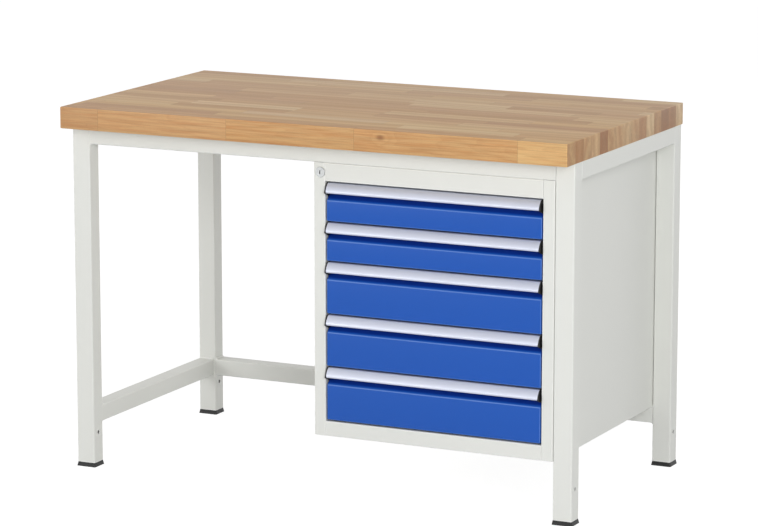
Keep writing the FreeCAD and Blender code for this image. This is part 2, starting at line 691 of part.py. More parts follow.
OUTER_PATH = [
    ("slide_reach", "slide_height / 2 - slide_outer_lip"), ("slide_reach", "slide_height / 2"),
    ("0", "slide_height / 2"), ("0", "-slide_height / 2"),
    ("slide_reach", "-slide_height / 2"), ("slide_reach", "slide_outer_lip - slide_height / 2")]
MIDDLE_PATH = [
    ("middle_front", "middle_half - slide_middle_lip"), ("middle_front", "middle_half"),
    ("middle_back", "middle_half"), ("middle_back", "-middle_half"),
    ("middle_front", "-middle_half"), ("middle_front", "slide_middle_lip - middle_half")]
INNER_PATH = [
    ("inner_back + slide_wall", "-inner_lip_half"), ("inner_back + slide_wall", "-inner_half"),
    ("slide_width", "-inner_half"), ("slide_width", "inner_half"),
    ("inner_back + slide_wall", "inner_half"), ("inner_back + slide_wall", "inner_lip_half")]


def build_cabinet_slides():
    """The ten members that stay in the cabinet."""
    pieces = []
    for number in DRAWERS:
        pieces += slide_members("outer_member", number, OUTER_PATH)
    return [group("cabinet_slides", pieces)]


# ---------------------------------------------------------------- drawers


def build_drawer_front(number):
    """Folded front: face, sloped finger recess, wall behind it, flange for the grip, and closed ends."""
    height = f"front_height_{number}"
    body = new_body(f"drawer_{number}_front", "front_left", "face_plane", f"front_base_{number}")
    foot = f"({height} - recess_drop)"
    wall_top = f"{height} - grip_wall"
    rear = "recess_depth + front_sheet"
    extrude(body, "X", "0", "front_width", [
        ("0", "0"), (rear, "0"), (rear, "front_upstand"), ("recess_depth", "front_upstand"),
        ("recess_depth", "front_sheet"), ("front_sheet", "front_sheet"),
        ("front_sheet", f"{foot} - recess_shift"), (rear, f"{foot} + recess_rise - recess_shift"),
        (rear, wall_top), ("recess_depth", wall_top), ("recess_depth", f"{foot} + recess_rise"), ("0", foot)])
    end = extrude(body, "X", "0", "front_sheet", [
        ("0", "0"), (rear, "0"), (rear, f"{foot} + recess_rise"),
        ("recess_depth", f"{foot} + recess_rise"), ("0", foot)])
    repeat(body, end, "X", "front_width - front_sheet")
    extrude(body, "X", "cap_thickness", "front_width - 2 * cap_thickness",
            box("grip_setback + grip_wall + grip_play", f"{wall_top} - front_sheet", rear, wall_top))
    return body


def build_grip(number):
    """Extruded grip strip: curved nose with a rounded lip, and a slot that takes the front's flange."""
    body = new_body(f"drawer_{number}_grip", "front_left + cap_thickness", "face_plane",
                    f"front_base_{number} + front_height_{number}")
    slot = "(grip_wall + front_sheet + grip_play)"
    rib = f"({slot} + grip_rib)"
    rear = "recess_depth + front_sheet"
    extrude(body, "X", "0", "front_width - 2 * cap_thickness", [
        (rear, "0"), ("grip_setback", "0", "grip_radius"),
        ("-grip_reach", "-grip_drop", "grip_lip * 0.55"), ("grip_lip - grip_reach", "-grip_drop",
                                                          "grip_radius - grip_lip", "right"),
        ("grip_setback", f"-{rib}"), ("grip_rib_reach", f"-{rib}"), ("grip_rib_reach", f"-{slot}"),
        ("grip_setback + grip_wall", f"-{slot}"), ("grip_setback + grip_wall", "-grip_wall"),
        (rear, "-grip_wall")])
    return body


def build_end_caps(number):
    """Plastic caps at both ends of the grip strip, down to the recess's sloped floor."""
    z = f"front_base_{number} + front_height_{number}"
    cap = new_body(f"cap_piece_{number}", "front_left", "face_plane", z)
    extrude(cap, "X", "0", "cap_thickness", [
        ("recess_depth", "0"), ("grip_setback", "0", "grip_radius"), ("-grip_reach", "-grip_drop"),
        ("cap_meet", "cap_meet * recess_rise / recess_depth - recess_drop"),
        ("recess_depth", "recess_rise - recess_drop")])
    other = copy_at(cap, f"cap_right_{number}", "front_left + front_width - cap_thickness", "face_plane", z)
    return group(f"drawer_{number}_end_caps", [cap, other])


def build_tray(number):
    """Folded tray with a doubled rim, and the catch that the lock bar's tongue holds."""
    height = f"(front_height_{number} - tray_drop - tray_lift)"
    body = new_body(f"drawer_{number}_tray", "tray_left", "tray_front", f"front_base_{number} + tray_lift")
    extrude(body, "Z", "0", height, box("0", "0", "tray_width", "tray_length"))
    wall, rim = "tray_sheet", "(2 * tray_sheet)"
    cut(body, "Z", "tray_sheet", f"{height} - tray_sheet",
        box(wall, wall, f"tray_width - {wall}", f"tray_length - {wall}"))
    extrude(body, "Z", f"{height} - hem_height", "hem_height",
            box(wall, wall, f"tray_width - {wall}", f"tray_length - {wall}"),
            box(rim, rim, f"tray_width - {rim}", f"tray_length - {rim}"))
    reach = "(catch_side - slide_width)"
    start = "(bar_gap + bar_thickness + catch_run)"
    level = "tongue_level + tongue_height + catch_gap - tray_lift"
    extrude(body, "Z", level, "catch_height", [
        ("0", start), ("0", f"{start} + catch_foot"), ("-catch_sheet", f"{start} + catch_foot"),
        ("-catch_sheet", f"{start} + catch_sheet"), (reach, f"{start} + catch_sheet"), (reach, start)])
    return body


def build_drawer(number):
    """All pieces of one drawer, and the intermediate members that travel half as far."""
    return [
        build_drawer_front(number),
        build_grip(number),
        build_end_caps(number),
        build_tray(number),
        group(f"drawer_{number}_slides", slide_members("inner_member", number, INNER_PATH)),
        group(f"middle_slides_{number}", slide_members("middle_member", number, MIDDLE_PATH)),
    ]


# ---------------------------------------------------------------- central lock


def build_lock():
    """Housing, turning plug with its keyhole, and the crank on the plug's tail."""
    housing = new_body("lock_housing", "lock_x", "frame_front", "lock_z")
    bore = "(plug_diameter / 2 + plug_play)"
    seat = "(plug_head / 2 + plug_play)"
    turned(housing, [
        (bore, "lock_length"), (bore, "plug_seat - bezel_thickness"), (seat, "plug_seat - bezel_thickness"),
        (seat, "-bezel_thickness"), ("bezel_face / 2", "-bezel_thickness"), ("bezel_diameter / 2", "0"),
        ("lock_body / 2", "0"), ("lock_body / 2", "lock_length")])
    plug = new_body("lock_plug", "lock_x", "frame_front", "lock_z")
    head_rear = "plug_seat - bezel_thickness - plug_play"
    turned(plug, [
        ("0", "lock_length + plug_play"), ("0", "-bezel_thickness - plug_proud"),
        ("plug_head / 2", "-bezel_thickness - plug_proud"), ("plug_head / 2", head_rear),
        ("plug_diameter / 2", head_rear), ("plug_diameter / 2", "lock_length + plug_play")])
    cut(plug, "Y", "-bezel_thickness - plug_proud", "key_slot_depth",
        box("-key_slot_width / 2", "-key_slot_height / 2", "key_slot_width / 2", "key_slot_height / 2"))
    extrude(plug, "Y", "lock_length + plug_play", "crank_thickness",
            box("-tail_size / 2", "-tail_size / 2", "tail_size / 2", "tail_size / 2"))
    crank = new_body("lock_crank", "lock_x", "crank_front", "lock_z")
    eye = "(tail_size / 2 + tail_play)"
    rim = "(tail_size / 2 + crank_rim)"
    tip = "(crank_offset + crank_pin / 2 + crank_tip)"
    extrude(crank, "Y", "0", "crank_thickness", [
        (rim, f"-{rim}"), (rim, rim), (f"-{rim}", rim), (f"-{tip}", f"crank_corner - {tip}"),
        (f"crank_corner - {tip}", f"-{tip}")], box(f"-{eye}", f"-{eye}", eye, eye))
    extrude(crank, "Y", "crank_thickness",
            "bar_front + bar_thickness + crank_overrun - crank_front - crank_thickness",
            disc("-crank_offset", "-crank_offset", "crank_pin"))
    return [housing, plug, crank]


def build_lock_bar():
    """Flat bar with a cross slot for the crank pin and one tongue for each drawer."""
    bar = new_body("lock_bar", "0", "bar_front", "0")
    right = "bar_left + bar_width"
    tip = "opening_left + tongue_reach"
    foot = "front_base_5 + bar_foot"
    head = "lock_z - crank_offset + bar_head"
    corners = [("bar_left", foot), (right, foot)]
    for number in reversed(DRAWERS):
        level = f"front_base_{number} + tongue_level"
        corners += [(right, level), (tip, level), (tip, f"{level} + tongue_height"),
                    (right, f"{level} + tongue_height")]
    corners += [(right, head), ("bar_left", head)]
    slot = box("lock_x - crank_radius - slot_half", "lock_z - crank_offset - slot_half",
               "lock_x - crank_offset + slot_half", "lock_z - crank_offset + slot_half")
    extrude(bar, "Y", "0", "bar_thickness", corners, slot)
    return [bar]


def build_lock_fittings():
    """The lock's nut, and two slotted plates on the left side panel in which the lock bar slides."""
    nut = new_body("lock_nut_piece", "lock_x", "frame_front + panel_sheet", "lock_z")
    extrude(nut, "Y", "0", "lock_nut_height", hexagon("0", "0", "lock_nut_flats"),
            disc("0", "0", "lock_body + 2 * thread_play"))
    guide = new_body("guide_piece", "inner_left", "bar_front", "front_base_1 + guide_level")
    margin = "(guide_play + guide_margin)"
    extrude(guide, "Z", "0", "guide_sheet",
            box("0", f"-{margin}", "guide_width", f"bar_thickness + {margin}"),
            box("bar_side - guide_play", "-guide_play", "bar_side + bar_width + guide_play",
                "bar_thickness + guide_play"))
    extrude(guide, "Z", "0", "guide_flange", box("0", f"-{margin}", "guide_sheet", f"bar_thickness + {margin}"))
    lower = copy_at(guide, "guide_lower", "inner_left", "bar_front", "front_base_5 + guide_level")
    return [group("lock_fittings", [nut, guide, lower])]


# ---------------------------------------------------------------- build, check, write

parts = build_worktop() + build_worktop_fixings() + build_legs() + build_rails() + build_feet()
parts += build_cabinet_shell() + build_uprights() + build_hangers() + build_cabinet_slides()
for drawer in DRAWERS:
    parts += build_drawer(drawer)
parts += build_lock() + build_lock_bar() + build_lock_fittings()
doc.recompute()

for item in doc.Objects:
    if "Invalid" in item.State or "Error" in item.State:
        raise RuntimeError(f"{item.Label} failed: {item.State}")
for part in parts:
    if part.Shape.isNull() or not part.Shape.isValid() or part.Shape.Volume <= 0:
        raise RuntimeError(f"{part.Label} has no valid shape")

os.makedirs("parts", exist_ok=True)
for part in parts:
    part.Shape.exportStep(f"parts/{part.Label}.step")
print(f"{len(parts)} parts written")
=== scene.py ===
import json
import math

import bmesh
import bpy
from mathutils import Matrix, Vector


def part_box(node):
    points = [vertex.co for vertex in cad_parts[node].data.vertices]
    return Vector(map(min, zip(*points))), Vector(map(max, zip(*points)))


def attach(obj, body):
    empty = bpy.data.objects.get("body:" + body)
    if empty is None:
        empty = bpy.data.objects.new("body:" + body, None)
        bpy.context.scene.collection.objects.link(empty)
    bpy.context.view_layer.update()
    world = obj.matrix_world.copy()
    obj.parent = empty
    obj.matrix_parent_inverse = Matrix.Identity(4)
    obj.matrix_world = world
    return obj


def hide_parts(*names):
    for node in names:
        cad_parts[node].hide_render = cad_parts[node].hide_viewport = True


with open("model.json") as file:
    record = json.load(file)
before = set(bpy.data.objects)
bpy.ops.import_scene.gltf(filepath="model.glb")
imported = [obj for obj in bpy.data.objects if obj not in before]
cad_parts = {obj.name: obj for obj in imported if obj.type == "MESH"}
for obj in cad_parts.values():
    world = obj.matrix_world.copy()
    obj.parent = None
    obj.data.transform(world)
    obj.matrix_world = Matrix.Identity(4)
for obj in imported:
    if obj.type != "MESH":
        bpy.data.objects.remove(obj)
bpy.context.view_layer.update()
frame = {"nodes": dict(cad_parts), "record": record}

# Workshop bench: beech worktop, welded tube frame and a hung cabinet of five drawers.
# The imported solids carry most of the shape. This script gives them their finishes, and models
# the board with its eased edges, the folded drawer fronts, the grip strips and the weld beads.
# All lengths are metres.

NEAR = 0.00001  # places closer than this are one place
FACING = 0.9  # a normal's share along an axis, from which its face looks along that axis
FACE = -0.2885  # the drawers' faces, along Y
WHITE = (1, 1, 1, 1)

# ---------------------------------------------------------------- shader maths


def paint(red, green, blue):
    """A colour written in 0 to 255 screen values, as the shader's linear light."""
    linear = []
    for level in (red, green, blue):
        share = level / 255
        linear.append(share / 12.92 if share <= 0.04045 else ((share + 0.055) / 1.055) ** 2.4)
    return (*linear, 1.0)


class Socket:
    """One output of a node. Plain expressions on it add the Math nodes that they need."""

    def __init__(self, nodes, output):
        self.nodes = nodes
        self.output = output

    def math(self, operation, *values):
        return self.nodes.node("ShaderNodeMath", {"operation": operation}, dict(enumerate(values)))

    def __add__(self, other):
        return self.math("ADD", self, other)

    def __sub__(self, other):
        return self.math("SUBTRACT", self, other)

    def __rsub__(self, other):
        return self.math("SUBTRACT", other, self)

    def __mul__(self, other):
        return self.math("MULTIPLY", self, other)

    def __truediv__(self, other):
        return self.math("DIVIDE", self, other)

    def __pow__(self, other):
        return self.math("POWER", self, other)

    def __gt__(self, other):
        return self.math("GREATER_THAN", self, other)

    __radd__ = __add__
    __rmul__ = __mul__

    def floor(self):
        return self.math("FLOOR", self)

    def fraction(self):
        return self.math("FRACT", self)

    def sine(self):
        return self.math("SINE", self)

    def size(self):
        return self.math("ABSOLUTE", self)

    def larger(self, other):
        return self.math("MAXIMUM", self, other)

    def step(self, low, high):
        """0 below low, 1 above high, smooth between."""
        return self.nodes.node("ShaderNodeMapRange", {"interpolation_type": "SMOOTHSTEP"},
                               {"Value": self, "From Min": low, "From Max": high})


class Nodes:
    """The node tree of a material or of the world."""

    def __init__(self, owner):
        owner.use_nodes = True
        self.tree = owner.node_tree
        self.tree.nodes.clear()

    def node(self, kind, settings=None, values=None, output=0):
        """Add a node: settings first, then the values or links of its sockets."""
        added = self.tree.nodes.new(kind)
        for label, setting in (settings or {}).items():
            if label == "stops":
                ramp = added.color_ramp
                while len(ramp.elements) < len(setting):
                    ramp.elements.new(0.5)
                for element, (position, colour) in zip(ramp.elements, setting):
                    element.position, element.color = position, colour
            else:
                setattr(added, label, setting)
        for label, value in (values or {}).items():
            self.give(added.inputs[label], value)
        return Socket(self, added.outputs[output]) if added.outputs else None

    def give(self, socket, value):
        """Link an input, or set its constant. A colour given to a vector loses its alpha."""
        if isinstance(value, Socket):
            self.tree.links.new(value.output, socket)
        elif isinstance(value, tuple):
            socket.default_value = value[:len(socket.default_value)]
        else:
            socket.default_value = value

    def outputs(self, socket, *labels):
        """Several outputs of the node that a socket belongs to."""
        return [Socket(self, socket.output.node.outputs[label]) for label in labels]

    def axes(self, vector):
        return self.outputs(self.node("ShaderNodeSeparateXYZ", {}, {0: vector}), "X", "Y", "Z")

    def blend(self, share, first, second):
        """Mix two colours."""
        return self.node("ShaderNodeMix", {"data_type": "RGBA"}, {0: share, 6: first, 7: second}, 2)

    def seen_directly(self):
        """1 for rays that show the background: camera, glossy and transmission rays."""
        camera, glossy, through = self.outputs(
            self.node("ShaderNodeLightPath"), "Is Camera Ray", "Is Glossy Ray", "Is Transmission Ray")
        return camera.larger(glossy).larger(through)


class Finish(Nodes):
    """A material of this bench, built from the shader back."""

    def __init__(self, name, colour, roughness, **constants):
        self.material = bpy.data.materials.new(name)
        super().__init__(self.material)
        self.shader = self.node("ShaderNodeBsdfPrincipled")
        self.node("ShaderNodeOutputMaterial", {}, {"Surface": self.shader})
        self.feed("Base Color", colour)
        self.feed("Roughness", roughness)
        for label, number in constants.items():
            self.feed(label.replace("_", " "), number)

    def feed(self, label, value):
        """Give one of the shader's own sockets a constant or a link."""
        self.give(self.shader.output.node.inputs[label], value)

    def place(self, scale=(1, 1, 1), shift=(0, 0, 0)):
        """The point on the piece, in metres, stretched and shifted."""
        point = self.node("ShaderNodeTexCoord", output="Object")
        return self.node("ShaderNodeMapping", {}, {"Vector": point, "Scale": scale, "Location": shift})

    def point(self, x, y, z):
        return self.node("ShaderNodeCombineXYZ", {}, {"X": x, "Y": y, "Z": z})

    def apart(self, x, y, z):
        """The length of a step of x, y and z."""
        return self.node("ShaderNodeVectorMath", {"operation": "LENGTH"},
                         {0: self.point(x, y, z)}, "Value")

    def noise(self, where, detail=3, roughness=0.5):
        return self.node("ShaderNodeTexNoise", {}, {
            "Vector": where, "Scale": 1.0, "Detail": detail, "Roughness": roughness}, "Fac")

    def cells(self, settings, where, output):
        """One output of a cell pattern whose cells are one unit apart."""
        return self.node("ShaderNodeTexVoronoi", settings, {**where, "Scale": 1}, output)

    def dimmed(self, colour, share):
        """A colour at a share of its brightness."""
        return self.node("ShaderNodeVectorMath", {"operation": "SCALE"}, {0: colour, "Scale": share})

    def eased(self, radius):
        """The surface's normal, as if its edges were rounded by a radius."""
        return self.node("ShaderNodeBevel", {"samples": 4}, {"Radius": radius})

    def relief(self, height, depth, edge):
        """Raise the surface by height times depth in metres, on edges eased by a radius."""
        self.feed("Normal", self.node("ShaderNodeBump", {}, {
            "Height": height, "Distance": depth, "Strength": 1.0, "Normal": self.eased(edge)}))


# ---------------------------------------------------------------- finishes

STAVE = 0.68 / 15  # width of one stave
STAVES_PER_METRE = 3.1
STAGGER = 17.31  # how far the butt joints of a row lie from those of the row before
FIRST_JOINT = 40.3
BOARD_REAR = 0.34
BOARD_MIDDLE = 0.825
RING = 0.0042  # one year's growth
KNOT = (0.184, -0.34, 0.834)
KNOT_CORE, KNOT_EDGE, KNOT_PULL = 0.001, 0.009, 0.028  # the rings bend round it up to KNOT_PULL
TURNED = (0.6, FACING)  # from here to there along an axis, a rounded edge becomes that side
STAVE_TONES = (0.0, 0.35, 0.7, 1.0)
LONG_GRAIN = (paint(208, 160, 105), paint(230, 186, 124), paint(237, 198, 136), paint(246, 214, 160))
END_GRAIN = (paint(148, 100, 54), paint(184, 140, 92), paint(206, 170, 122), paint(228, 198, 150))


def beech():
    """Oiled beech glued up from staves with staggered butt joints, each with its own heart and rings."""
    wood = Finish("beech_staves", (0.5, 0.5, 0.5, 1), 0.5, Specular_IOR_Level=0.48)
    x, y, z = wood.axes(wood.place())
    row = ((y + BOARD_REAR) / STAVE).floor()
    run = x * STAVES_PER_METRE + row * STAGGER + FIRST_JOINT
    stave = wood.cells({"voronoi_dimensions": "1D"}, {"W": run}, "Color")
    tone, lean, tint = wood.axes(stave)
    joint = wood.cells({"voronoi_dimensions": "1D", "feature": "DISTANCE_TO_EDGE"},
                       {"W": run}, "Distance")
    seam = 0.5 - (((y + BOARD_REAR) / STAVE).fraction() - 0.5).size()
    own = tone * 7 + row * 0.37

    # the rings of the log that each stave was sawn from, with its heart a little off the stave's line
    knot = wood.apart((x - KNOT[0]) * 0.6, y - KNOT[1], z - KNOT[2])
    waver = wood.noise(wood.point(x * 5 + own, y * 26 + own, z * 26))
    heart_y = (row + 0.5) * STAVE - BOARD_REAR + ((lean > 0.5) * 2 - 1) * (tint * 0.09 + 0.05)
    heart_y = heart_y + x * ((tone * 5.7).fraction() - 0.5) * 0.09
    heart_z = ((tint * 3.3).fraction() * 0.06 - 0.03 + BOARD_MIDDLE
               + x * ((lean * 9.1).fraction() - 0.5) * 0.07)
    rings = (wood.apart(y - heart_y, z - heart_z, 0) + waver * 0.011
             + (1 - knot.step(0, KNOT_PULL)) * 0.007)
    late = (rings / RING).fraction() ** 2.2
    broad = (rings * 190 + waver * 4).sine() * 0.5 + 0.5

    # fibres and pores that run along the stave, and clouds of deeper colour
    fibre = wood.noise(wood.point(x * 8 + own * 3, y * 380, z * 380), detail=4, roughness=0.65)
    streak = wood.noise(wood.point(x * 7 + own, y * 150, z * 150), roughness=0.6)
    fleck = wood.noise(wood.point(x * 170 + own, y * 1400, z * 1400), detail=1).step(0.6, 0.72)
    cloud = wood.noise(wood.point(x * 5 + own * 2, y * 24 + own, z * 24))

    # which side of the board this is
    across, along, up = wood.axes(wood.node("ShaderNodeTexCoord", output="Normal"))
    end_grain = across.size().step(*TURNED)
    underside = (0 - up).step(*TURNED)
    top_painted_light = up.step(*TURNED)
    long_edge = along.size().step(*TURNED)

    side, end = (wood.node("ShaderNodeValToRGB", {"stops": list(zip(STAVE_TONES, colours))},
                           {"Fac": tone}) for colours in (LONG_GRAIN, END_GRAIN))
    colour = wood.blend(end_grain, side, end)
    figure = 1 - long_edge * 0.5
    for share, stain in (
            ((broad * 0.5 + late * 0.5) * cloud * 0.85 * figure, paint(196, 124, 62)),
            ((1 - streak.step(0.3, 0.62)) * long_edge * 0.5, paint(206, 132, 66)),
            (tint * (0.16 - end_grain * 0.1), paint(206, 160, 136)),
            # painted reflection: the top is tinted grey-blue, for the sheen of the sky on it
            (top_painted_light * 0.1, paint(150, 150, 165)),
            (underside * 0.75, paint(226, 214, 196)),
            ((1 - knot.step(KNOT_CORE, KNOT_EDGE)) * 0.62, paint(128, 70, 36))):
        colour = wood.blend(share, colour, stain)

    shade = 1.03 - (late * (0.07 + end_grain * 0.24) + broad * (0.03 + end_grain * 0.1)) * figure
    shade = shade - fleck * (0.1 + long_edge * 0.06)
    fine = 1 + (fibre - 0.5) * (0.2 + long_edge * 0.4 + end_grain * 0.12)
    bands = 1 + (streak - 0.5) * (0.22 + end_grain * 0.2)
    # painted shade: the top is painted darker; the long edges come out a little brighter, the end grain
    # darker
    level = 1 + long_edge * 0.04 - end_grain * 0.07 - top_painted_light * 0.12
    glue = 1 - (1 - seam.step(0, 0.012)) * 0.22
    glue = glue * (1 - (1 - joint.step(0, 0.0022)) * 0.35)
    shade = shade * fine * bands * (0.92 + cloud * 0.16) * level * glue
    wood.feed("Base Color", wood.dimmed(colour, shade))
    wood.feed("Roughness", 0.44 + fibre * 0.14 + fleck * 0.08)
    wood.relief(fibre * 0.5 - late * 0.3 - fleck * 0.8 + glue * 1.2, 0.00012, edge=0.0006)
    return wood.material


def powder_coat(name, colour, roughness=0.36, gloss=0.45, folds=None):
    """Powder paint on steel: faint orange peel, slightly uneven gloss and thickness.

    With a colour for folds, it is the paint of the drawer fronts, with a painted highlight on the
    folds and painted shade deep in the finger recess. Without one, a painted highlight runs along
    all edges.
    """
    coat = Finish(name, colour, roughness, Specular_IOR_Level=gloss)
    peel = coat.noise(coat.place((420, 420, 420)), detail=2, roughness=0.55)
    cloud = coat.noise(coat.place((3.1, 3.1, 3.1), (5, 2, 9)))
    if folds:
        depth = coat.axes(coat.place())[1] - FACE
        # painted highlight: the folds just behind the face are painted paler, for the light they catch
        painted_fold_highlight = depth.step(0.00002, 0.0002) * (1 - depth.step(0.0007, 0.0016))
        # painted shade: deeper in the finger recess the blue is painted darker, where the grip shades it
        colour = coat.blend(depth.step(0.0012, 0.006), colour, paint(6, 46, 137))
        colour = coat.blend(painted_fold_highlight * (0.26 + cloud * 0.16), colour, folds)
    else:
        # painted highlight: all edges are painted paler, for the light that rounded edges catch
        flat = coat.node("ShaderNodeNewGeometry", output="Normal")
        edge_dot_for_painted_highlight = coat.node("ShaderNodeVectorMath", {"operation": "DOT_PRODUCT"},
                         {0: coat.eased(0.003), 1: flat}, "Value")
        colour = coat.blend((1 - edge_dot_for_painted_highlight).step(0.004, 0.08) * 0.9, colour, paint(250, 250, 248))
    coat.feed("Base Color", coat.dimmed(colour, 0.975 + cloud * 0.05))
    coat.feed("Roughness", roughness - 0.05 + peel * 0.06 + cloud * 0.06)
    coat.relief(peel, 0.00003, edge=0.0009)
    return coat.material


def brushed(name, colour, roughness, scale, edge=0.0004, metallic=1.0):
    """Metal with fine lines along the axis that has the smallest scale."""
    metal = Finish(name, colour, roughness, Metallic=metallic)
    lines = metal.noise(metal.place(scale), roughness=0.7)
    cloud = metal.noise(metal.place((9, 9, 9)), detail=2)
    metal.feed("Base Color", metal.dimmed(colour, 0.93 + lines * 0.09 + cloud * 0.05))
    metal.feed("Roughness", roughness - 0.06 + lines * 0.14)
    metal.relief(lines, 0.000015, edge=edge)
    return metal.material


def zinc(colour):
    """Bright zinc plate: soft patches of differing dullness."""
    plate = Finish("zinc_plate", colour, 0.4, Metallic=0.9)
    patch = plate.cells({}, {"Vector": plate.place((110, 110, 110))}, "Color")
    mottle = plate.axes(patch)[0]
    cloud = plate.noise(plate.place((18, 18, 18)))
    plate.feed("Base Color", plate.dimmed(colour, 0.86 + mottle * 0.1 + cloud * 0.16))
    plate.feed("Roughness", 0.34 + mottle * 0.08 + cloud * 0.1)
    plate.relief(cloud, 0.00002, edge=0.0003)
    return plate.material


def moulded_plastic():
    """Black plastic with a fine spark-eroded grain."""
    plastic = Finish("moulded_plastic", paint(20, 20, 21), 0.5, Specular_IOR_Level=0.4)
    grain = plastic.noise(plastic.place((1300, 1300, 1300)), detail=2, roughness=0.6)
    scuff = plastic.noise(plastic.place((60, 60, 160))).step(0.55, 0.8)
    plastic.feed("Base Color", plastic.blend(scuff * 0.5, paint(18, 18, 19), paint(38, 38, 39)))
    plastic.feed("Roughness", 0.42 + grain * 0.12 + scuff * 0.12)
    plastic.relief(grain, 0.00004, edge=0.0005)
    return plastic.material


FINISHES = {
    "beech": beech(),
    "frame_paint": powder_coat("frame_powder_coat", paint(227, 228, 223)),
    "drawer_paint": powder_coat("drawer_powder_coat", paint(16, 83, 178), roughness=0.32, gloss=0.34,
                                # the folds' colour is a painted highlight
                                folds=paint(132, 172, 232)),
    "grip_aluminium": brushed("grip_aluminium_satin", paint(209, 213, 227), 0.42, (14, 2200, 2200),
                              metallic=0.6),
    "black_plastic": moulded_plastic(),
    "zinc_steel": zinc(paint(178, 182, 184)),
    "lock_chrome": brushed("lock_bright_chrome", paint(188, 190, 190), 0.3, (900, 60, 900),
                           edge=0.0003),
}

for part in frame["record"]["subparts"]:
    shown = frame["nodes"][part["node"]].data.materials
    shown.clear()
    shown.append(FINISHES[part["material_slot"]])

# ---------------------------------------------------------------- modelling by hand

ROUND_STEPS = 4  # flat strips in a rounded edge


def primitive(add, **how):
    """Start a piece from a primitive, with nothing else selected."""
    bpy.ops.object.select_all(action="DESELECT")
    add(**how)
    return bpy.context.view_layer.objects.active


def apply_modifier(piece, kind, **settings):
    bpy.context.view_layer.objects.active = piece
    modifier = piece.modifiers.new(kind.lower(), kind)
    for label, setting in settings.items():
        setattr(modifier, label, setting)
    bpy.ops.object.modifier_apply(modifier=modifier.name)


def pick(piece, kind, test):
    """In edit mode, select the faces, edges or points of a piece that pass a test, and no others."""
    bpy.ops.mesh.select_mode(type=kind)
    bpy.ops.mesh.select_all(action="DESELECT")
    shape = bmesh.from_edit_mesh(piece.data)
    for item in {"VERT": shape.verts, "EDGE": shape.edges, "FACE": shape.faces}[kind]:
        if test(item):
            item.select_set(True)
    bmesh.update_edit_mesh(piece.data)


def on_line(edge, **levels):
    """Whether both ends of an edge lie at the given x, y or z."""
    return all(abs(getattr(point.co, axis) - level) < NEAR
               for point in edge.verts for axis, level in levels.items())


def extrude(x, y, z):
    bpy.ops.mesh.extrude_region_move(TRANSFORM_OT_translate={"value": (x, y, z)})


def begin_edit(piece):
    bpy.ops.object.transform_apply(location=True, rotation=True, scale=True)
    bpy.ops.object.mode_set(mode="EDIT")


def end_edit(inside=False):
    bpy.ops.mesh.select_all(action="SELECT")
    bpy.ops.mesh.normals_make_consistent(inside=inside)
    bpy.ops.object.mode_set(mode="OBJECT")


def smooth(degrees):
    """Smooth the active piece, except over edges sharper than an angle."""
    bpy.ops.object.shade_smooth_by_angle(angle=math.radians(degrees))


def settle(piece, name, body, slot):
    """Put the place into the mesh, name the piece, and hang it on its body and finish."""
    bpy.ops.object.select_all(action="DESELECT")
    piece.select_set(True)
    bpy.context.view_layer.objects.active = piece
    bpy.ops.object.transform_apply(location=True, rotation=True, scale=True)
    piece.name = piece.data.name = name
    piece.data.materials.clear()
    piece.data.materials.append(FINISHES[slot])
    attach(piece, body)


def copy_of(piece, shift=(0, 0, 0)):
    """A copy with its own mesh, moved by a shift."""
    twin = piece.copy()
    twin.data = piece.data.copy()
    bpy.context.scene.collection.objects.link(twin)
    twin.location = twin.location + Vector(shift)
    return twin


BOARD_EDGE = 0.0022


def build_board():
    """The worktop board, its edges eased with a round-over."""
    low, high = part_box("worktop")
    board = primitive(bpy.ops.mesh.primitive_cube_add, size=1, location=(low + high) / 2)
    board.scale = high - low
    bpy.ops.object.transform_apply(location=False, rotation=False, scale=True)
    apply_modifier(board, "BEVEL", width=BOARD_EDGE, segments=ROUND_STEPS, limit_method="ANGLE")
    smooth(35)
    settle(board, "worktop_board", "bench", "beech")
    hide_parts("worktop")


FRONT_SHEET = 0.0012
FRONT_RADIUS = 0.0022
RECESS_DEPTH = 0.016
RECESS_DROP = 0.0382
FLANGE_REACH = 0.0121
UPSTAND = 0.025
END_CAP = 0.003


